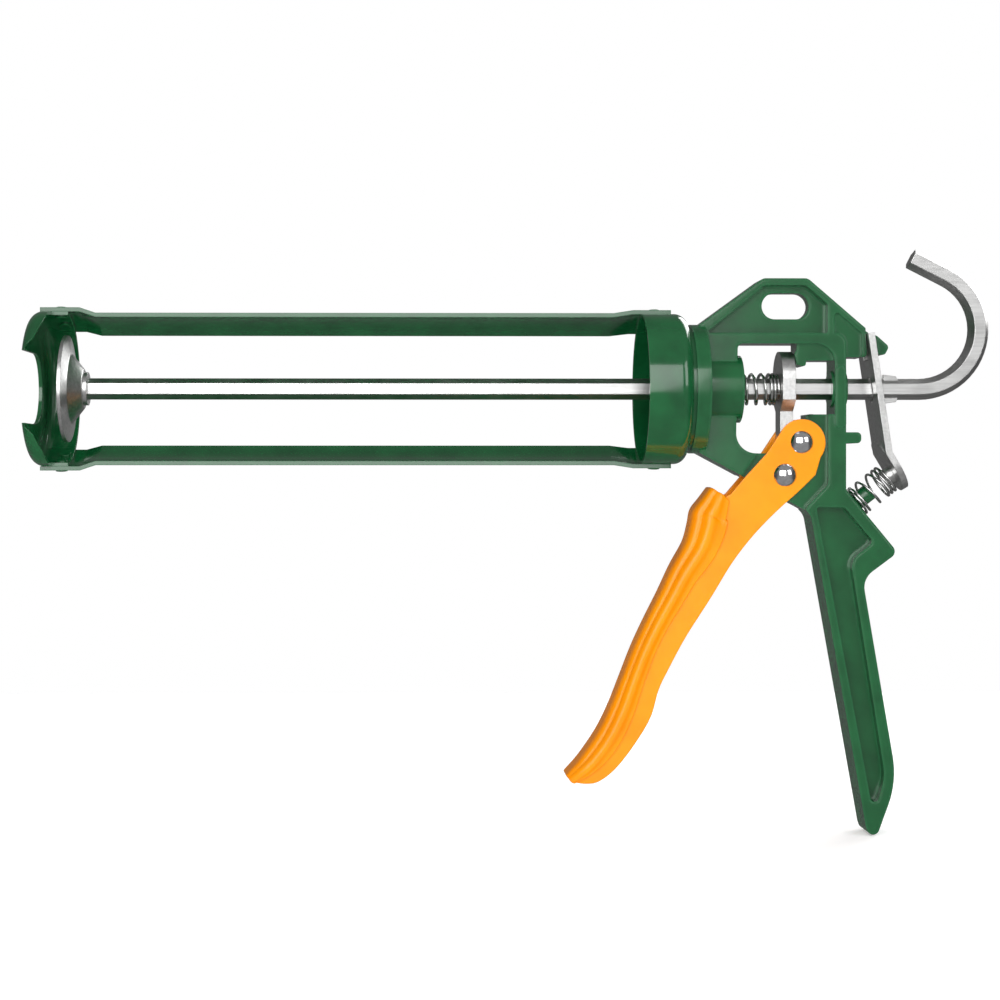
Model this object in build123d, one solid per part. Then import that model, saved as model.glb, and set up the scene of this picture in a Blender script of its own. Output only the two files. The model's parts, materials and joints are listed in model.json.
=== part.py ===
from build123d import *
from math import acos, atan2, cos, degrees, hypot, radians, sin, tan
import os

# Skeleton caulking gun. +X runs along the push rod from the nozzle end to the hook, +Z is up.
# The origin is on the rod's axis at the inner face of the rear cup's floor.

# Cradle: the open holder for a standard cartridge
CRADLE_LENGTH = 230.4
CAP_R = 27.6
CAP_SHEET = 1.3
CAP_DEPTH = 12.7
CAP_CORNER_R = 4.5
NOZZLE_SLOT_R = 12.6
CUP_R = 26.8
CUP_WALL = 1.1
CUP_FLOOR = 1.2
CUP_DEPTH = 14.6
CUP_CORNER_R = 4.3
STRAP_SHEET = 1.5
STRAP_R = 27.2
STRAP_FRONT_X = -229.0
STRAP_REAR_X = -3.8
STRAP_ARC_DEG = 39
STRAP_RIVET_R = 2.1
STRAP_RIVET_DEG = (62, 81)
FRONT_RIVET_X = -222.0
REAR_RIVET_X = -9.5

# Swivel between the cradle and the handle
SPIGOT_R = 8.0
SPIGOT_END_X = -3.0
RING_GROOVE_R = 7.2
NECK_R = 22.1
FLANGE_X = 2.5
FLANGE_END_X = 7.5
FLANGE_R = 23.0
HUB_R = 12.0
HUB_END_X = 20.7

# Handle casting
FRAME_HALF = 7.0
WEB_HALF = 2.8
EAR_HALF = 4.6
POST_X = 53.5
POST_END_X = 57.5
PIVOT_X = 36.0
PIVOT_Z = -30.7
EAR_R = 9.3
LUG_HALF = 5.8
PAD_HALF = 7.7
STUD_R = 3.1
STUD_LENGTH = 7.0

# Trigger and its rivets
PUSHER_X = 42.0
PUSHER_Z = -19.0
CHEEK_INNER = 4.9
TRIGGER_SHEET = 1.4
CHEEK_OUTER = CHEEK_INNER + TRIGGER_SHEET
TRIGGER_END_R = 8.4
BEAD_HALF = 9.2
BEAD_DEPTH = 4.6
INWARD = (0.9, -0.42)
RIVET_R = 2.4
RIVET_HEAD_R = 4.1
RIVET_HEAD_HEIGHT = 2.0

# Push rod and pressure disc
ROD_ACROSS_CORNERS = 7.6
ROD_R = ROD_ACROSS_CORNERS / 2
ROD_BORE_R = ROD_R + 0.08
ROD_FRONT_X = -211.7
HOOK_X = 85.0
HOOK_R = 21.4
HOOK_TURN = 153
HOOK_TAIL = 14.0
DISC_R = 19.0
DISC_X = -219.9
DISC_SHEET = 1.2
THREAD_R = 2.9

# Drive plate, release lever and springs
PLATE_X = 34.5
PLATE_THICK = 4.6
PLATE_HALF = 10.0
PLATE_TOP_Z = 13.4
LEVER_SHEET = 2.3
LEVER_HALF = 10.0
LEVER_HOLE_R = 4.6
LEVER_TILT = 8.5
PIP_R = 3.2
PIP_HEIGHT = 2.5
PIP_DOWN = 8.25
FORK_HALF = 3.1
HORN_WEB_HALF = 2.5
SPRING_R = 5.3
DRIVE_WIRE_R = 0.52
RELEASE_WIRE_R = 0.45
RELEASE_LENGTH = 14.9
GAP = 0.1


def rounded_corner(before, corner, after):
    """The arc that rounds an outline's corner, as its start, middle and end."""
    x, z, radius = corner
    back = Vector(before[0] - x, before[1] - z).normalized()
    ahead = Vector(after[0] - x, after[1] - z).normalized()
    half_angle = acos(max(-1.0, min(1.0, back.dot(ahead)))) / 2
    run = radius / tan(half_angle)
    bisector = (back + ahead).normalized()
    reach = radius / sin(half_angle) - radius
    corner_point = Vector(x, z)
    return corner_point + back * run, corner_point + bisector * reach, corner_point + ahead * run


def outline(*corners):
    """A closed face in the XZ plane. Each corner is (x, z) or (x, z, fillet radius)."""
    edges = []
    ends = []
    count = len(corners)
    for i, corner in enumerate(corners):
        if len(corner) == 3:
            start, middle, end = rounded_corner(corners[i - 1], corner, corners[(i + 1) % count])
            edges.append(Edge.make_three_point_arc(start, middle, end))
        else:
            start = end = Vector(corner[0], corner[1])
        ends.append((start, end))
    for i in range(count):
        edges.append(Edge.make_line(ends[i][1], ends[(i + 1) % count][0]))
    return Face(Wire(edges))


def slab(face, half):
    """Extrude an XZ outline to both sides of the middle plane."""
    return extrude(Plane.XZ * face, amount=half, both=True)


def pocket(face, inner, outer):
    """The two cutters that sink an outline into both sides of the casting."""
    return slab(face, outer) - slab(face, inner)


def tube_x(radius, x_start, x_end, bore=0.0):
    """A round bar or tube along the rod axis."""
    length = x_end - x_start
    bar = Pos(x_start + length / 2, 0, 0) * (Rot(0, 90, 0) * Cylinder(radius, length))
    if bore > 0:
        bar -= Pos(x_start + length / 2, 0, 0) * (Rot(0, 90, 0) * Cylinder(bore, length + 2))
    return bar


def pin_y(x, z, radius, half):
    """A round pin across the gun."""
    return Pos(x, 0, z) * (Rot(90, 0, 0) * Cylinder(radius, 2 * half))


def turned(*points):
    """A solid of revolution about the rod axis from an (x, radius) outline."""
    return revolve(Plane.XZ * outline(*points), Axis.X, 360)


def radial_pin(x, angle, radius, r_start, r_end):
    """A round pin that points away from the rod axis, at an angle above the far side."""
    length = r_end - r_start
    bar = Pos(0, 0, r_start + length / 2) * Cylinder(radius, length)
    return Pos(x, 0, 0) * (Rot(angle - 90, 0, 0) * bar)


def strap_rivet_places():
    return [side * angle for side in (1, -1) for angle in STRAP_RIVET_DEG]


def front_cap():
    face_x = -CRADLE_LENGTH - CAP_SHEET
    back_x = face_x + CAP_DEPTH
    inner_r = CAP_R - CAP_SHEET
    shell = turned(
        (face_x, 0),
        (face_x, CAP_R, CAP_CORNER_R),
        (back_x, CAP_R),
        (back_x, inner_r),
        (-CRADLE_LENGTH, inner_r, CAP_CORNER_R - CAP_SHEET),
        (-CRADLE_LENGTH, 0),
    )
    slot = tube_x(NOZZLE_SLOT_R, face_x - 1, back_x + 1)
    slot += Pos((face_x + back_x) / 2, -20, 0) * Box(CAP_DEPTH + 2, 40, 2 * NOZZLE_SLOT_R)
    # The near half of the wall is trimmed back so that a cartridge goes in sideways
    trim = outline(
        (back_x + 1, 29),
        (-224.8, 29),
        (-225.2, 23.0, 8),
        (-227.6, 16.4, 3),
        (-CRADLE_LENGTH + 0.2, 14.0),
        (-CRADLE_LENGTH + 0.2, -14.0),
        (-227.6, -16.4, 3),
        (-225.2, -23.0, 8),
        (-224.8, -29),
        (back_x + 1, -29),
    )
    shell -= slot
    shell -= Pos(0, -CAP_R / 2 - 1, 0) * slab(trim, CAP_R / 2 + 1)
    for angle in strap_rivet_places():
        shell -= radial_pin(FRONT_RIVET_X, angle, STRAP_RIVET_R, inner_r - 2, CAP_R + 2)
    return shell


def rear_cup():
    rim_x = -CUP_DEPTH
    inner_r = CUP_R - CUP_WALL
    shell = turned(
        (rim_x, inner_r),
        (rim_x, CUP_R),
        (CUP_FLOOR, CUP_R, CUP_CORNER_R),
        (CUP_FLOOR, SPIGOT_R + GAP / 2),
        (0, SPIGOT_R + GAP / 2),
        (0, inner_r, CUP_CORNER_R - CUP_WALL),
    )
    for angle in strap_rivet_places():
        shell -= radial_pin(REAR_RIVET_X, angle, STRAP_RIVET_R, inner_r - 2, CUP_R + 2)
    return shell


def strap(side):
    """A curved strip, stepped outwards over the cap and over the cup."""
    front_r = CAP_R + STRAP_SHEET
    rear_r = CUP_R + STRAP_SHEET
    steps = [
        (STRAP_FRONT_X, front_r),
        (-215.0, front_r),
        (-209.3, STRAP_R),
        (-24.3, STRAP_R),
        (-17.3, rear_r),
        (STRAP_REAR_X, rear_r),
    ]
    inner = [(x, r - STRAP_SHEET) for x, r in reversed(steps)]
    section = Plane.XZ * outline(*steps, *inner)
    strip = Rot(-STRAP_ARC_DEG, 0, 0) * revolve(section, Axis.X, STRAP_ARC_DEG)
    if side < 0:
        strip = mirror(strip, Plane.XY)
    for angle in STRAP_RIVET_DEG:
        strip -= radial_pin(FRONT_RIVET_X, side * angle, STRAP_RIVET_R, CAP_R - 1, front_r + 1)
        strip -= radial_pin(REAR_RIVET_X, side * angle, STRAP_RIVET_R, CUP_R - 1, rear_r + 1)
    return strip


def strap_rivets(x, sheet_r, sheet):
    """Four short rivets with low heads inside and outside the joint."""
    rivets = []
    for angle in strap_rivet_places():
        inside = sheet_r - sheet
        outside = sheet_r + STRAP_SHEET
        shank = radial_pin(x, angle, STRAP_RIVET_R, inside - 0.7, outside + 0.5)
        rivets.append(shank)
    return Compound(rivets)


def swivel_washer():
    return tube_x(NECK_R, CUP_FLOOR + GAP, FLANGE_X, SPIGOT_R + 0.4)


def swivel_thrust_washer():
    return tube_x(12.0, -0.9, -GAP, SPIGOT_R + 0.05)


def swivel_retaining_ring():
    ring = tube_x(10.0, -2.1, -1.0, RING_GROOVE_R)
    mouth = Pos(-1.5, 0, -8) * Box(4, 6, 8)
    return ring - mouth


def casting_body():
    """The outer shape of the arm, post and grip, at full width."""
    return outline(
        (5.0, 22.4),
        (28.0, 39.1, 3),
        (43.9, 39.1, 3),
        (64.4, 21.45),
        (64.9, 11.2, 1.2),
        (POST_END_X, 11.2),
        (POST_END_X, -15.5),
        (62.9, -15.5, 1.5),
        (62.9, -19.4, 1.5),
        (POST_END_X, -19.4),
        (POST_END_X, -35.9),
        (75.9, -58.2, 2.5),
        (63.4, -67.5, 7),
        (75.6, -139.4, 34),
        (67.0, -162.8, 2.2),
        (64.6, -155.5, 1.5),
        (44.8, -43.9, 6),
        (5.4, -22.9),
    )


def casting_window():
    return outline(
        (19.0, 16.0, 2),
        (POST_X, 16.0, 7),
        (POST_X, -9.1),
        (43.6, -9.1, 1),
        (43.6, -13.2),
        (47.6, -14.4, 1.5),
        (47.6, -23.2, 3),
        (18.3, -22.9, 7),
    )


def grip_pocket():
    return outline(
        (46.9, -42.0, 1),
        (57.0, -42.2, 2),
        (67.4, -54.5, 1.8),
        (59.2, -60.8, 6),
        (71.4, -138.0, 18),
        (67.3, -151.5, 1.5),
    )


def arm_pocket():
    return outline(
        (7.6, 19.6, 0.6),
        (28.6, 36.7, 2),
        (43.2, 36.7, 2),
        (51.0, 29.9, 1),
        (51.0, 19.6, 1),
    )


def lug_pocket():
    """The flat of the lug, inside the rib that runs from the arm down into the post."""
    return outline(
        (53.4, 28.0, 1),
        (63.2, 19.6, 1),
        (63.2, 9.0),
        (POST_END_X, 9.0),
        (POST_END_X, 19.6, 3.8),
        (53.4, 19.6),
    )


def post_pad():
    """A low rounded pad on the post, beside the rod."""
    return outline(
        (POST_X + 0.1, 8.0, 1.6),
        (POST_END_X - 0.1, 8.0, 1.6),
        (POST_END_X - 0.1, -14.0, 1.6),
        (POST_X + 0.1, -14.0, 1.6),
    )


def trigger_recess():
    """Where the trigger's cheeks lie beside the pivot ear, over their whole swing."""
    return outline(
        (32.0, -12.0),
        (26.6, -22.3, 3),
        (17.0, -35.5),
        (30.0, -60.0),
        (42.2, -46.5),
        (43.6, -42.0, 2),
        (51.2, -34.0, 3),
        (51.2, -8.0),
    )


def handle_frame():
    casting = slab(casting_body(), FRAME_HALF)
    casting -= slab(casting_window(), FRAME_HALF + 1)
    casting += tube_x(FLANGE_R, FLANGE_X, FLANGE_END_X)
    casting += tube_x(HUB_R, FLANGE_END_X - 1, HUB_END_X)
    casting += tube_x(SPIGOT_R, SPIGOT_END_X, FLANGE_X + 1)
    casting += tube_x(6.6, POST_X - 0.6, POST_END_X + 0.8)
    # Stop for the drive plate, hanging from the arm
    stop = outline(
        (40.2, 18.0),
        (40.2, 13.9),
        (39.4, 12.3),
        (40.2, 8.6, 0.6),
        (43.4, 7.7, 1),
        (43.6, 10.0),
        (POST_X + 1, 10.0),
        (POST_X + 1, 18.0),
    )
    casting += slab(stop, FRAME_HALF - 1.5)
    # Recessed panels of the arm, the grip and the pivot ear
    casting -= pocket(arm_pocket(), WEB_HALF, FRAME_HALF + 1)
    casting -= pocket(grip_pocket(), WEB_HALF, FRAME_HALF + 1)
    casting -= pocket(trigger_recess(), EAR_HALF, FRAME_HALF + 1)
    casting -= pocket(lug_pocket(), LUG_HALF, FRAME_HALF + 1)
    casting += slab(post_pad(), PAD_HALF)
    casting += pin_y(PIVOT_X, PIVOT_Z, EAR_R, EAR_HALF)
    # Horn behind the release lever, joined to the lug by a narrow web
    horn = outline(
        (67.8, 19.0),
        (68.6, 18.6, 0.5),
        (72.8, 14.9, 1.5),
        (71.3, 12.0, 1.2),
        (69.1, 12.0, 0.6),
        (68.3, 15.3),
    )
    casting += slab(horn, FRAME_HALF)
    web = outline((60, 24.5), (66.5, 20.0), (69.5, 18.0), (70.5, 14.0), (69.4, 12.5), (60, 11.5))
    casting += slab(web, HORN_WEB_HALF)
    # Hang slot
    slot = Pos(36.6, 0, 29.5) * (Rot(90, 0, 0) * extrude(SlotOverall(16.8, 9.3), amount=9, both=True))
    casting -= slot
    # Stud that centres the release spring on the slanting rear face
    casting += spring_axis() * (Pos(0, 0, STUD_LENGTH / 2 - 1) * Cylinder(STUD_R, STUD_LENGTH + 2))
    # Bores and the retaining ring's groove
    casting -= tube_x(ROD_BORE_R, SPIGOT_END_X - 1, HUB_END_X + 1)
    casting -= tube_x(ROD_BORE_R, POST_X - 2, POST_END_X + 2)
    casting -= tube_x(SPIGOT_R + 1, -2.1, -1.0, RING_GROOVE_R)
    casting -= pin_y(PIVOT_X, PIVOT_Z, RIVET_R, FRAME_HALF + 1)
    return casting


def spring_axis():
    """Placement on the grip's slanting face: its Z points at the end of the release lever."""
    return Location(Plane(origin=(61.9, 0, -40.9), x_dir=(0, 1, 0), z_dir=(0.79, 0, 0.61)))


def trigger_front():
    """Corners along the finger side, from the shoulder down to the tip."""
    return [
        (15.6, -36.6),
        (11.1, -35.4),
        (4.4, -43.4),
        (2.1, -54.3),
        (-9.3, -76.8),
        (-18.6, -93.2),
        (-24.6, -110.7),
        (-31.8, -126.1),
        (-42.4, -138.0),
    ]


def trigger_rear():
    """Corners along the open side, from the tip up to the rivets."""
    return [
        (-36.0, -140.2),
        (-29.8, -138.6),
        (-21.4, -130.8),
        (-13.4, -118.9),
        (-3.0, -94.2),
        (15.7, -65.3),
        (25.9, -51.5),
        (36.5, -39.9),
        (46.8, -29.6),
    ]


def trigger_side():
    """A cheek's outline, with a round end about the pusher rivet."""
    upper = [(21.2, -32.0), (29.2, -23.3), (34.4, -15.6)]
    cheek = outline(*trigger_front(), *trigger_rear(), (49.6, -25.4), (42.0, -19.0), *upper[::-1])
    return cheek + Pos(PUSHER_X, PUSHER_Z - 0.2) * Circle(TRIGGER_END_R)


def trigger_band(start, width):
    """A strip between two depths behind the finger side, below the shoulder."""
    near = [(x + INWARD[0] * start, z + INWARD[1] * start) for x, z in trigger_front()[1:]]
    deep = [(x + INWARD[0] * width, z + INWARD[1] * width) for x, z in trigger_front()[1:]]
    return outline(*near, *reversed(deep))


def trigger_cavity():
    """Everything behind the front web, open to the rear and above the shoulder."""
    web = [(x + INWARD[0] * TRIGGER_SHEET, z + INWARD[1] * TRIGGER_SHEET) for x, z in trigger_front()[1:]]
    return outline((10.0, -20.0), *web, (0, -170), (70, -100), (70, 0), (10.0, 0))


def trigger():
    side = trigger_side()
    body = slab(side, CHEEK_OUTER) + (slab(trigger_band(0, BEAD_DEPTH), BEAD_HALF) & slab(side, BEAD_HALF))
    body -= slab(trigger_band(TRIGGER_SHEET, BEAD_DEPTH - TRIGGER_SHEET), BEAD_HALF - TRIGGER_SHEET)
    body -= slab(trigger_cavity(), CHEEK_INNER)
    body -= pin_y(PIVOT_X, PIVOT_Z, RIVET_R + 0.05, BEAD_HALF)
    body -= pin_y(PUSHER_X, PUSHER_Z, RIVET_R, BEAD_HALF)
    return body


def domed_rivet(x, z, gap):
    """A shank across the gun with a domed head outside each cheek."""
    head_y = CHEEK_OUTER + gap
    dome_r = (RIVET_HEAD_R**2 + RIVET_HEAD_HEIGHT**2) / (2 * RIVET_HEAD_HEIGHT)
    dome = Pos(0, -head_y + dome_r - RIVET_HEAD_HEIGHT, 0) * Sphere(dome_r)
    head = dome - Pos(0, -head_y + 2 * dome_r, 0) * Box(4 * dome_r, 4 * dome_r, 4 * dome_r)
    rivet = Rot(90, 0, 0) * Cylinder(RIVET_R, 2 * head_y + 0.2) + head + mirror(head, Plane.XZ)
    return Pos(x, 0, z) * rivet


def drive_plate():
    """Wide and round at the rod, narrow where it drops between the cheeks."""
    shank = CHEEK_INNER - 0.4
    face = make_face(
        Polyline((-PLATE_HALF, PLATE_TOP_Z - PLATE_HALF), (-PLATE_HALF, -4), (-shank, -8), (-shank, -20.4))
        + Line((-shank, -20.4), (shank, -20.4))
        + Polyline((shank, -20.4), (shank, -8), (PLATE_HALF, -4), (PLATE_HALF, PLATE_TOP_Z - PLATE_HALF))
        + ThreePointArc(
            (PLATE_HALF, PLATE_TOP_Z - PLATE_HALF),
            (0, PLATE_TOP_Z),
            (-PLATE_HALF, PLATE_TOP_Z - PLATE_HALF),
        )
    )
    plate = Pos(PLATE_X, 0, 0) * extrude(Plane.YZ * face, amount=PLATE_THICK)
    return plate - tube_x(ROD_R + 0.35, PLATE_X - 1, PLATE_X + PLATE_THICK + 1)


def coil(radius, wire_r, length, turns):
    """A compression spring standing on the XY plane."""
    path = Helix(pitch=length / turns, height=length, radius=radius)
    profile = Plane(origin=path @ 0, z_dir=path % 0) * Circle(wire_r)
    return sweep(profile, path=path)


def drive_spring():
    length = PLATE_X - HUB_END_X - 2 * DRIVE_WIRE_R - 2 * GAP
    return Pos(HUB_END_X + DRIVE_WIRE_R + GAP, 0, 0) * (
        Rot(0, 90, 0) * coil(SPRING_R, DRIVE_WIRE_R, length, 6))


def release_spring():
    return spring_axis() * (Pos(0, 0, RELEASE_WIRE_R + GAP) * coil(SPRING_R, RELEASE_WIRE_R, RELEASE_LENGTH, 6.5))


def hexagon():
    """The rod's section, with two corners up and down."""
    return Rot(0, 0, 30) * RegularPolygon(ROD_R, 6)


def cross_plane(x):
    """The plane across the rod at x, facing +X."""
    return Plane(origin=(x, 0, 0), x_dir=(0, 1, 0), z_dir=(1, 0, 0))


def push_rod():
    bar = extrude(cross_plane(ROD_FRONT_X) * hexagon(), amount=HOOK_X - ROD_FRONT_X)
    turn = radians(HOOK_TURN)
    bend_axis = Axis((HOOK_X, 0, HOOK_R), (0, -1, 0))
    bar += revolve(cross_plane(HOOK_X) * hexagon(), bend_axis, HOOK_TURN)
    end_x = HOOK_X + HOOK_R * sin(turn)
    end_z = HOOK_R - HOOK_R * cos(turn)
    tail_plane = Plane(origin=(end_x, 0, end_z), x_dir=(0, 1, 0), z_dir=(cos(turn), 0, sin(turn)))
    bar += extrude(tail_plane * hexagon(), amount=HOOK_TAIL)
    # Ears pressed out of the corners stop the rod at the release lever
    for side in (1, -1):
        ear = outline((72.2, side * 3.0), (72.2, side * 5.2), (76.6, side * 4.6), (77.4, side * 3.0))
        bar += slab(ear, 1.3)
    # Riveted front end, turned down to pass through the disc
    bar += tube_x(THREAD_R, DISC_X + 1.4, ROD_FRONT_X + 1)
    return bar


def pressure_disc():
    """A dished plate, hollow towards the cartridge."""
    x = DISC_X
    t = DISC_SHEET
    return turned(
        (x, DISC_R),
        (x + t, DISC_R),
        (x + t + 1.2, 12.4, 1),
        (x + 5.6 + t, 7.0, 1),
        (x + 5.6 + t, THREAD_R),
        (x + 5.6, THREAD_R),
        (x + 5.6, 6.4, 0.8),
        (x + 1.4, 11.4, 1),
        (x, 15.0),
    )


def disc_washer():
    return tube_x(5.9, DISC_X + 6.8, ROD_FRONT_X, THREAD_R)


def disc_nut():
    nut = extrude(cross_plane(DISC_X + 2.0) * RegularPolygon(5.5, 6), amount=3.6)
    return nut - tube_x(THREAD_R, DISC_X, DISC_X + 8)


def lever_path():
    """Centre line of the lever from its top to its rounded end."""
    return [(65.85, 19.6), (72.16, -22.8), (79.8, -35.6)]


def lever_leg(start, stop):
    """Where a length of the lever starts, with its Z pointing back up the length, and how long it is."""
    length = hypot(stop[0] - start[0], stop[1] - start[1])
    tilt = degrees(atan2(stop[0] - start[0], start[1] - stop[1]))
    return Pos(start[0], 0, start[1]) * Rot(0, -tilt, 0), length


def release_lever():
    top, bend, end = lever_path()
    half = LEVER_SHEET / 2
    upper, upper_length = lever_leg(top, bend)
    lower, lower_length = lever_leg(bend, end)
    square = lower_length - LEVER_HALF
    lever = upper * (Pos(0, 0, -upper_length / 2) * Box(LEVER_SHEET, 2 * LEVER_HALF, upper_length))
    lever += Pos(bend[0], 0, bend[1]) * (Rot(90, 0, 0) * Cylinder(half, 2 * LEVER_HALF))
    lever += lower * (Pos(0, 0, -square / 2) * Box(LEVER_SHEET, 2 * LEVER_HALF, square))
    lever += lower * (Pos(0, 0, -square) * (Rot(0, 90, 0) * Cylinder(LEVER_HALF, LEVER_SHEET)))
    # Pip that keeps the release spring in place
    lever += lower * (Pos(-half - PIP_HEIGHT / 2, 0, -PIP_DOWN) * (Rot(0, 90, 0) * Cylinder(PIP_R, PIP_HEIGHT)))
    hole = Pos(0, 0, -top[1] / cos(radians(LEVER_TILT))) * (Rot(0, 90, 0) * Cylinder(LEVER_HOLE_R, 8))
    fork = Pos(0, 0, -4.0) * Box(8, 2 * FORK_HALF, 10.4)
    return lever - upper * hole - upper * fork


def build():
    os.makedirs("parts", exist_ok=True)
    parts = {
        "front_cap": front_cap(),
        "upper_strap": strap(1),
        "lower_strap": strap(-1),
        "rear_cup": rear_cup(),
        "front_strap_rivets": strap_rivets(FRONT_RIVET_X, CAP_R, CAP_SHEET),
        "rear_strap_rivets": strap_rivets(REAR_RIVET_X, CUP_R, CUP_WALL),
        "swivel_washer": swivel_washer(),
        "swivel_thrust_washer": swivel_thrust_washer(),
        "swivel_retaining_ring": swivel_retaining_ring(),
        "handle_frame": handle_frame(),
        "trigger": trigger(),
        "pivot_rivet": domed_rivet(PIVOT_X, PIVOT_Z, GAP),
        "pusher_rivet": domed_rivet(PUSHER_X, PUSHER_Z, 0.0),
        "drive_plate": drive_plate(),
        "drive_spring": drive_spring(),
        "push_rod": push_rod(),
        "pressure_disc": pressure_disc(),
        "disc_washer": disc_washer(),
        "disc_nut": disc_nut(),
        "release_lever": release_lever(),
        "release_spring": release_spring(),
    }
    for name, shape in parts.items():
        export_step(shape, f"parts/{name}.step")


build()
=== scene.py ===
import bpy, bmesh, json, math
from mathutils import Matrix, Vector


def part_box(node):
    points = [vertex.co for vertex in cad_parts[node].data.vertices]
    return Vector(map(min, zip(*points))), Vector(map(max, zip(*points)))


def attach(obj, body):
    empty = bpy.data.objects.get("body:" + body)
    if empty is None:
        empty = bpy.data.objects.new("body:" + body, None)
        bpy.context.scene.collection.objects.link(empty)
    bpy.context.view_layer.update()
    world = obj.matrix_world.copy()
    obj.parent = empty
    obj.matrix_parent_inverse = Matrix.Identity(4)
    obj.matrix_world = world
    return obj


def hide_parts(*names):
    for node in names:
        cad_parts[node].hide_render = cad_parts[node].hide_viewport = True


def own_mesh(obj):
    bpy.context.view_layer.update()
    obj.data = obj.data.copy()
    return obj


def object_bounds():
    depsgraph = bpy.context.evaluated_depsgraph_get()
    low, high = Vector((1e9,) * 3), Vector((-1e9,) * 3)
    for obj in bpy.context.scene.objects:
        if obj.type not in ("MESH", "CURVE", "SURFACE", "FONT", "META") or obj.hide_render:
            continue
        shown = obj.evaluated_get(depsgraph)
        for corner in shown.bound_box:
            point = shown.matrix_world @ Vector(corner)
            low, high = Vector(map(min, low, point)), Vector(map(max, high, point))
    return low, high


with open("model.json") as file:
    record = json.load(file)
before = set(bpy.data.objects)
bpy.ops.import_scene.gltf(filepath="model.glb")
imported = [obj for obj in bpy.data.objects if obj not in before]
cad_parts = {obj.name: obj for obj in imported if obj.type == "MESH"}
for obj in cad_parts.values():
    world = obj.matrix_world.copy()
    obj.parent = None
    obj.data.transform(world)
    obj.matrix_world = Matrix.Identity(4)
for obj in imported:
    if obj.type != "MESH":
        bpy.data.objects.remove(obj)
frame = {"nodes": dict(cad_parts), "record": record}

CAD_LOW, CAD_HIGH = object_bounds()
MM = 0.001


# ---------- materials ----------

# A Mix node's colour sockets, which share their names with those of its other types
COLOUR_A = 6
COLOUR_B = 7
COLOUR_OUT = 2


def linear(code):
    """An sRGB hex colour as linear RGBA."""
    channels = [int(code[i:i + 2], 16) / 255 for i in (1, 3, 5)]
    return tuple(c / 12.92 if c <= 0.04045 else ((c + 0.055) / 1.055) ** 2.4 for c in channels) + (1.0,)


def every(spacing_mm):
    """The scale of a noise with one feature every so many mm."""
    return 1 / (spacing_mm * MM)


def add(tree, kind, settings=(), inputs=(), links=()):
    """Adds a node, with its properties, its socket values and its links.

    Each link is (socket, other node, that node's output).
    """
    node = tree.nodes.new(kind)
    for name, value in dict(settings).items():
        setattr(node, name, value)
    for name, value in dict(inputs).items():
        node.inputs[name].default_value = value
    for name, source, output in links:
        tree.links.new(source.outputs[output], node.inputs[name])
    return node


def start(name, **inputs):
    """A new material: its tree, its shader and object coordinates."""
    material = bpy.data.materials.new(name)
    material.use_nodes = True
    tree = material.node_tree
    shader = tree.nodes["Principled BSDF"]
    for key, value in inputs.items():
        shader.inputs[key.replace("_", " ")].default_value = value
    place = add(tree, "ShaderNodeTexCoord")
    return material, tree, shader, place


def ramp(node, stops):
    """Sets a colour ramp's stops from (position, colour) pairs."""
    elements = node.color_ramp.elements
    while len(elements) < len(stops):
        elements.new(0.5)
    for element, (position, colour) in zip(elements, stops):
        element.position = position
        element.color = colour


def enamel(name, deep, base, thin_film_and_highlight_colour, roughness, peel, edge_mm, coat=0.6, specular=0.5):
    """Stoved enamel over metal.

    Surface tension leaves an orange-peel ripple, and pulls the film thin off each edge; the paler colour there
    is partly that thin film and partly a painted highlight along the edges.
    """
    material, tree, shader, place = start(
        name, Roughness=roughness, IOR=1.5, Specular_IOR_Level=specular, Coat_Weight=coat, Coat_Roughness=0.06)
    # Broad clouds of film thickness
    clouds = add(tree, "ShaderNodeTexNoise", {}, {"Scale": every(12.5), "Detail": 3.0},
                 [("Vector", place, "Object")])
    film = add(tree, "ShaderNodeValToRGB", {}, {}, [("Fac", clouds, "Fac")])
    ramp(film, [(0.3, linear(deep)), (0.7, linear(base))])
    # Rounded edges, and how far the rounding turns the face there
    edge = add(tree, "ShaderNodeBevel", {"samples": 4}, {"Radius": edge_mm * MM})
    shape = add(tree, "ShaderNodeNewGeometry")
    turn = add(tree, "ShaderNodeVectorMath", {"operation": "DOT_PRODUCT"}, {},
               [(0, edge, "Normal"), (1, shape, "Normal")])
    # Paler colour where the rounding turns the face: thinner film, and a painted highlight along every edge
    thin_film_and_highlight = add(tree, "ShaderNodeMapRange", {}, {"From Min": 1.0, "From Max": 0.8, "To Max": 0.55},
               [("Value", turn, "Value")])
    colour = add(tree, "ShaderNodeMix", {"data_type": "RGBA"}, {COLOUR_B: linear(thin_film_and_highlight_colour)},
                 [("Factor", thin_film_and_highlight, "Result"), (COLOUR_A, film, "Color")])
    tree.links.new(colour.outputs[COLOUR_OUT], shader.inputs["Base Color"])
    # Orange peel: ripples a few microns deep
    ripple = add(tree, "ShaderNodeTexNoise", {}, {"Scale": every(1.22), "Detail": 1.5},
                 [("Vector", place, "Object")])
    bump = add(tree, "ShaderNodeBump", {}, {"Strength": peel, "Distance": 0.04 * MM},
               [("Height", ripple, "Fac"), ("Normal", edge, "Normal")])
    tree.links.new(bump.outputs["Normal"], shader.inputs["Normal"])
    return material


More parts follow.
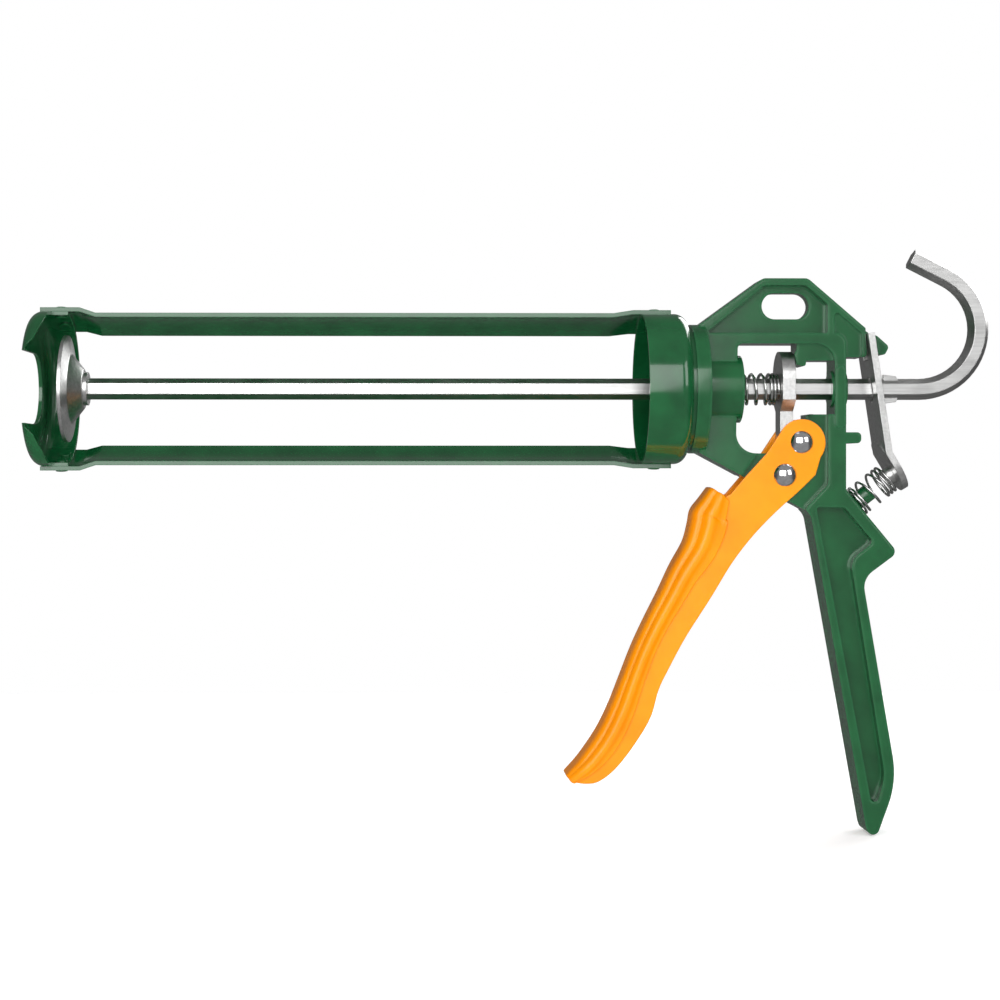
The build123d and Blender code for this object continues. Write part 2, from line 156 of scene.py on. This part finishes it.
def bright_steel(name, low, high, rough_low, rough_high, edge_mm, grain=(1.0, 1.0, 1.0)):
    """Steel with a bright zinc, nickel or chrome plate.

    grain stretches the pattern along the direction in which the metal was drawn.
    """
    material, tree, shader, place = start(name, Metallic=1.0)
    lay = add(tree, "ShaderNodeMapping", {}, {"Scale": grain}, [("Vector", place, "Object")])
    streaks = add(tree, "ShaderNodeTexNoise", {}, {"Scale": every(1.11), "Detail": 4.0},
                  [("Vector", lay, "Vector")])
    tint = add(tree, "ShaderNodeValToRGB", {}, {}, [("Fac", streaks, "Fac")])
    ramp(tint, [(0.3, linear(low)), (0.7, linear(high))])
    tree.links.new(tint.outputs["Color"], shader.inputs["Base Color"])
    # Handling dulls the plate in patches
    patches = add(tree, "ShaderNodeTexNoise", {}, {"Scale": every(7.14), "Detail": 3.0},
                  [("Vector", place, "Object")])
    dull = add(tree, "ShaderNodeMapRange", {},
               {"From Min": 0.3, "From Max": 0.7, "To Min": rough_low, "To Max": rough_high},
               [("Value", patches, "Fac")])
    tree.links.new(dull.outputs["Result"], shader.inputs["Roughness"])
    edge = add(tree, "ShaderNodeBevel", {"samples": 4}, {"Radius": edge_mm * MM})
    bump = add(tree, "ShaderNodeBump", {}, {"Strength": 0.25, "Distance": 0.02 * MM},
               [("Height", streaks, "Fac"), ("Normal", edge, "Normal")])
    tree.links.new(bump.outputs["Normal"], shader.inputs["Normal"])
    return material


# Gloss enamel on pressed sheet: deep green, mirror-like streaks from the softbox
sheet_enamel = enamel(
    "stoved_enamel_on_pressed_steel", "#0A4825", "#11592F", "#3A8054",
    roughness=0.16, peel=0.12, edge_mm=0.5)
# Gloss enamel on a zinc die casting: the same paint over a slightly rippled, softer-edged skin
cast_enamel = enamel(
    "stoved_enamel_on_zinc_casting", "#0A4825", "#12592F", "#3C8457",
    roughness=0.2, peel=0.3, edge_mm=1.5)
# Orange-yellow enamel on the pressed trigger, a little more satin
trigger_enamel = enamel(
    "satin_enamel_on_pressed_trigger", "#F58D00", "#FF9900", "#FFA810",
    roughness=0.24, peel=0.2, edge_mm=0.7, coat=0.0, specular=0.4)
# Drawn hexagon bar, zinc plated: fine lines along its length
drawn_bar = bright_steel(
    "zinc_plated_drawn_bar", "#BEBEBD", "#D6D6D5",
    rough_low=0.3, rough_high=0.4, edge_mm=0.45, grain=(0.06, 1.0, 1.0))
# Stamped sheet, zinc plated: an even grey sparkle with softened edges
stamped_plate = bright_steel(
    "zinc_plated_stamped_steel", "#C8C8C7", "#E2E2E1",
    rough_low=0.28, rough_high=0.4, edge_mm=0.35)
# Headed rivets, chrome plated: sharp reflections
rivet_chrome = bright_steel(
    "chrome_plated_rivet", "#D4D4D6", "#ECECEE",
    rough_low=0.05, rough_high=0.1, edge_mm=0.15)
# Hard-drawn spring wire, zinc plated: bright with dark flanks
spring_wire = bright_steel(
    "zinc_plated_spring_wire", "#B9B9B8", "#DADAD9",
    rough_low=0.14, rough_high=0.24, edge_mm=0.1)

FINISH = {
    "green_paint": sheet_enamel,
    "cast_green_paint": cast_enamel,
    "dark_paint": sheet_enamel,
    "orange_paint": trigger_enamel,
    "rivet_steel": rivet_chrome,
    "zinc_plate": stamped_plate,
    "rod_steel": drawn_bar,
    "lever_steel": stamped_plate,
    "spring_wire": spring_wire,
}

for part in frame["record"]["subparts"]:
    for holder in frame["nodes"][part["node"]].material_slots:
        holder.material = FINISH[part["material_slot"]]


# ---------- shapes ----------

def mesh_object(name, bm, material):
    """An object in the scene from a finished bmesh."""
    mesh = bpy.data.meshes.new(name)
    bm.to_mesh(mesh)
    bm.free()
    mesh.materials.append(material)
    obj = bpy.data.objects.new(name, mesh)
    bpy.context.scene.collection.objects.link(obj)
    return obj


def piece(name, bm, material, body, slot, *nodes):
    """A finished bmesh as a smooth piece that rides on a body and stands for CAD nodes."""
    obj = mesh_object(name, bm, material)
    # Large flat faces stay flat, so that only the rounded edges are shaded smoothly
    for polygon in obj.data.polygons:
        polygon.use_smooth = len(polygon.vertices) <= 4
    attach(obj, body)
    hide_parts(*nodes)
    return obj


def curve_point(points, share):
    """A place on a smooth curve through points, at a share from 0 to 1 of the way."""
    spans = len(points) - 1
    at = min(int(share * spans), spans - 1)
    t = share * spans - at
    p = [Vector(points[min(max(at + k, 0), spans)]) for k in (-1, 0, 1, 2)]
    return 0.5 * (2 * p[1] + (p[2] - p[0]) * t + (2 * p[0] - 5 * p[1] + 4 * p[2] - p[3]) * t ** 2
                  + (3 * p[1] - p[0] - 3 * p[2] + p[3]) * t ** 3)


def blank(bm, outline, y, thickness, rounding):
    """A flat plate in the XZ plane, cut to an outline in mm, with rounded edges."""
    verts = [bm.verts.new((x * MM, y * MM, z * MM)) for x, z in outline]
    face = [bm.faces.new(verts)]
    grown = bmesh.ops.extrude_face_region(bm, geom=face)["geom"]
    raised = [g for g in grown if isinstance(g, bmesh.types.BMVert)]
    bmesh.ops.translate(bm, vec=(0, thickness * MM, 0), verts=raised)
    faces = {f for v in verts + raised for f in v.link_faces}
    bmesh.ops.recalc_face_normals(bm, faces=list(faces))
    rim = [e for f in faces if len(f.verts) > 4 for e in f.edges]
    bmesh.ops.bevel(
        bm, geom=rim, offset=rounding * MM, segments=2, profile=0.5, affect="EDGES", material=-1)


# ---------- springs ----------

COIL_R = 5.3
DRIVE_WIRE_R = 0.55
RELEASE_WIRE_R = 0.45
WIRE_SIDES = 12
STEPS_PER_TURN = 28
# Each spring is a row of (turns, pitch in mm), from its fixed end
DRIVE_TURNS = [(0.8, 1.5), (2.4, 3.4), (2.6, 1.25)]
RELEASE_TURNS = [(1.6, 1.15), (1.9, 4.6), (2.6, 1.5)]
# From the face that a spring stands on to the middle of its first turn's wire
FIRST_TURN = 0.6


def wound(wire_r, runs, foot, lean):
    """A coil spring from runs of (turns, pitch) in mm. lean turns it from upright, and it stands on foot."""
    bm = bmesh.new()
    upright = Matrix.Translation((COIL_R * MM, 0, 0)) @ Matrix.Rotation(math.radians(90), 4, "X")
    ring = bmesh.ops.create_circle(
        bm, cap_ends=False, radius=wire_r * MM, segments=WIRE_SIDES, matrix=upright)
    last = ring["verts"] + list({e for v in ring["verts"] for e in v.link_edges})
    for turns, pitch in runs:
        steps = round(turns * STEPS_PER_TURN)
        last = bmesh.ops.spin(
            bm, geom=last, cent=(0, 0, 0), axis=(0, 0, 1), dvec=(0, 0, pitch * turns * MM / steps),
            angle=math.radians(360 * turns), steps=steps, use_merge=False, use_normal_flip=False,
            use_duplicate=False)["geom_last"]
    bmesh.ops.holes_fill(bm, edges=bm.edges, sides=0)
    bmesh.ops.recalc_face_normals(bm, faces=bm.faces)
    bmesh.ops.rotate(bm, cent=(0, 0, 0), matrix=lean, verts=bm.verts)
    bmesh.ops.translate(bm, vec=foot + lean.col[2] * FIRST_TURN * MM, verts=bm.verts)
    return bm


# Drive spring: open turns at the hub, close turns against the drive plate
hub_face = Vector((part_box("drive_spring")[0].x, 0, 0))
bm = wound(DRIVE_WIRE_R, DRIVE_TURNS, hub_face, Matrix.Rotation(math.radians(90), 3, "Y"))
drive_spring = piece("drive_spring_coils", bm, spring_wire, "frame", "spring_wire", "drive_spring")
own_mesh(drive_spring)

# Release spring: close turns at both ends, open between, on the grip's slanting face
grip_face = Vector((61.9, 0, -40.9)) * MM
release_way = Vector((0.79, 0, 0.61)).normalized()
bm = wound(RELEASE_WIRE_R, RELEASE_TURNS, grip_face, release_way.to_track_quat("Z", "Y").to_matrix())
release_spring = piece("release_spring_coils", bm, spring_wire, "frame", "spring_wire", "release_spring")
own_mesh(release_spring)


# ---------- trigger ----------

# The trigger's side view, as (x, z) in mm: from the shoulder down to the tip, and back up to the pivot
FINGER_SIDE = [
    (10.5, -35.5), (7.3, -39.7), (4.4, -43.5), (3.5, -48.0), (1.6, -55.0), (-2.9, -63.2), (-7.3, -72.7),
    (-12.1, -82.3), (-16.8, -92.4), (-21.3, -103.9), (-25.1, -113.4), (-29.5, -122.3), (-35.9, -131.8),
    (-41.3, -138.0)]
OPEN_SIDE = [
    (-38.9, -139.7), (-34.6, -140.2), (-30.3, -139.4), (-24.8, -135.3), (-18.6, -127.7), (-12.0, -117.0),
    (-9.0, -106.9), (-5.4, -99.4), (0.7, -88.1), (9.6, -74.2), (17.1, -61.9), (24.6, -52.2), (32.7, -43.8),
    (40.9, -36.4), (46.8, -30.6)]
NECK = [(29.2, -23.3), (21.2, -32.0), (16.6, -37.4), (13.6, -39.0)]
# Distance from the finger side to the ridge's crest, from the shoulder down to the tip
CREST = [3.2, 5.0, 5.4, 4.6, 3.6, 3.0, 3.0, 3.4, 3.2, 1.3]
# Half the trigger's section: how far behind the finger side, as a share of the crest's depth, and
# how far from the middle
SECTION = [
    (0.0, 0.0), (0.0, 3.2), (0.05, 5.6), (0.2, 6.9), (0.4, 6.8), (0.62, 7.5), (0.85, 9.0), (1.05, 9.1),
    (1.3, 7.9), (1.6, 6.9), (1.9, 6.4), (2.15, 6.2)]
WEB_HALF = 6.2
WEB_SHEET = 1.2
# Where the cheek goes in under the ridge, in the same shares as the section
CHEEK_DEPTH = 1.75
CHEEK_SHEET = 1.4
CHEEK_EDGE_R = 0.25
CHEEK_SIDES = (-6.3, 4.9)
PUSHER = Vector((42.0, -19.2))
PUSHER_END_R = 8.4


def finger_way(share):
    """The direction into the trigger from its finger side."""
    ahead = curve_point(FINGER_SIDE, min(share + 0.01, 1)) - curve_point(FINGER_SIDE, max(share - 0.01, 0))
    return Vector((-ahead.y, ahead.x)).normalized()


def behind(share, depth):
    """A point behind the finger side, at a depth given as a share of the crest's."""
    crest = curve_point([(c, 0) for c in CREST], share).x
    return curve_point(FINGER_SIDE, share) + finger_way(share) * depth * crest


# Front web and the swelled ridge behind it, one sheet from cheek to cheek
bm = bmesh.new()
bmesh.ops.create_grid(bm, x_segments=60, y_segments=44, size=0.5)
for vert in bm.verts:
    down = vert.co.x + 0.5
    depth, half = curve_point(SECTION, abs(vert.co.y) * 2)
    # The swelling dies away into the shoulder and the tip
    swell = min(1.0, (down + 0.05) / 0.14, (1.02 - down) / 0.08)
    half = half if half < WEB_HALF else WEB_HALF + (half - WEB_HALF) * swell
    place = behind(down, depth)
    vert.co = (place.x * MM, math.copysign(half, vert.co.y) * MM, place.y * MM)
front_web = piece("trigger_front_web", bm, trigger_enamel, "trigger", "orange_paint", "trigger")
wall = front_web.modifiers.new("sheet", "SOLIDIFY")
wall.thickness = WEB_SHEET * MM
wall.offset = -1
round_off = front_web.modifiers.new("smooth", "SUBSURF")
round_off.levels = round_off.render_levels = 1

# Flat cheeks, with a round end about the pusher rivet
ridge_edge = [behind(k / 40, CHEEK_DEPTH) for k in range(3, 40)]
open_edge = [curve_point(OPEN_SIDE, k / 52) for k in range(53)]
angles = [math.radians(-38 + 186 * k / 20) for k in range(21)]
round_end = [PUSHER + PUSHER_END_R * Vector((math.cos(a), math.sin(a))) for a in angles]
bm = bmesh.new()
for side in CHEEK_SIDES:
    blank(bm, ridge_edge + open_edge + round_end + NECK, side, CHEEK_SHEET, CHEEK_EDGE_R)
piece("trigger_cheeks", bm, trigger_enamel, "trigger", "orange_paint", "trigger")


# ---------- studio ----------

FLOOR_LOW = Vector((-0.9, -0.75, 0))
FLOOR_HIGH = Vector((0.8, 0.45, 0))
FLOOR_DROP = 0.5 * MM

# Matt white paper, faintly uneven, that gives off a little light as an overexposed backdrop does
paper, tree, shader, place = start(
    "matt_white_paper", Roughness=0.9, Emission_Color=linear("#FFFFFF"), Emission_Strength=0.35)
fibre = add(tree, "ShaderNodeTexNoise", {}, {"Scale": every(33.3), "Detail": 2.0},
            [("Vector", place, "Object")])
pale = add(tree, "ShaderNodeValToRGB", {}, {}, [("Fac", fibre, "Fac")])
ramp(pale, [(0.3, linear("#F6F6F6")), (0.7, linear("#FAFAFA"))])
tree.links.new(pale.outputs["Color"], shader.inputs["Base Color"])

bm = bmesh.new()
bmesh.ops.create_grid(bm, x_segments=1, y_segments=1, size=0.5)
bmesh.ops.scale(bm, vec=FLOOR_HIGH - FLOOR_LOW + Vector((0, 0, 1)), verts=bm.verts)
middle = (FLOOR_HIGH + FLOOR_LOW) / 2
bmesh.ops.translate(bm, vec=middle + Vector((0, 0, CAD_LOW.z - FLOOR_DROP)), verts=bm.verts)
floor = mesh_object("floor", bm, paper)
# Like the lamp overhead, the paper isn't mirrored in the enamel
floor.visible_glossy = False


def softbox(name, place, target, size, watts, mirrored=True):
    """A rectangular lamp, size (width, height) in metres, turned to its target."""
    light = bpy.data.lights.new(name, "AREA")
    light.shape = "RECTANGLE"
    light.size, light.size_y = size
    light.energy = watts
    obj = bpy.data.objects.new(name, light)
    obj.location = place
    obj.rotation_euler = (Vector(target) - Vector(place)).to_track_quat("-Z", "Y").to_euler()
    obj.visible_glossy = mirrored
    bpy.context.scene.collection.objects.link(obj)


softbox("front_softbox", (-0.39, -1.30, 0.36), (-0.10, 0, 0), size=(1.25, 1.1), watts=14.5)
softbox("right_softbox", (0.95, -1.1, 0.5), (0, 0, 0), size=(0.7, 0.9), watts=6)
softbox("top_softbox", (-0.05, 0.15, 1.2), (-0.05, 0, 0), size=(1.6, 0.8), watts=6, mirrored=False)
softbox("back_softbox", (0.85, 1.1, 0.6), (0, 0, 0), size=(1.0, 0.9), watts=11)

# A white studio, with dark cards at both ends of the gun
world = bpy.data.worlds.new("white_studio")
bpy.context.scene.world = world
world.use_nodes = True
sky = world.node_tree
backdrop = sky.nodes["Background"]
backdrop.inputs["Color"].default_value = linear("#FFFFFF")
way = add(sky, "ShaderNodeTexCoord")
sides = add(sky, "ShaderNodeSeparateXYZ", {}, {}, [("Vector", way, "Generated")])
sideways = add(sky, "ShaderNodeMath", {"operation": "ABSOLUTE"}, {}, [(0, sides, "X")])
cards = add(sky, "ShaderNodeMapRange", {},
            {"From Min": 0.72, "From Max": 0.92, "To Min": 1.0, "To Max": 0.3},
            [("Value", sideways, "Value")])
# The wall behind is further off, and dimmer than the one in front
walls = add(sky, "ShaderNodeMapRange", {},
            {"From Min": -0.3, "From Max": 0.5, "To Min": 0.3, "To Max": 0.12},
            [("Value", sides, "Y")])
dim = add(sky, "ShaderNodeMath", {"operation": "MULTIPLY"}, {},
          [(0, cards, "Result"), (1, walls, "Result")])
# The camera itself sees plain white
seen = add(sky, "ShaderNodeLightPath")
brightness = add(sky, "ShaderNodeMix", {}, {"B": 1.0},
                 [("Factor", seen, "Is Camera Ray"), ("A", dim, "Value")])
sky.links.new(brightness.outputs["Result"], backdrop.inputs["Strength"])

# Plain colours: the display keeps the enamel's own strength of colour
bpy.context.scene.view_settings.view_transform = "Standard"

camera = bpy.data.objects.new("camera", bpy.data.cameras.new("camera"))
camera.data.sensor_width = 36
camera.data.lens = 71.97
camera.data.shift_x = 0.07
camera.data.shift_y = -0.03
camera.location = (-0.100, -0.714, -0.0289)
camera.rotation_euler = (math.radians(90), 0, math.radians(-0.8))
bpy.context.scene.collection.objects.link(camera)
bpy.context.scene.camera = camera
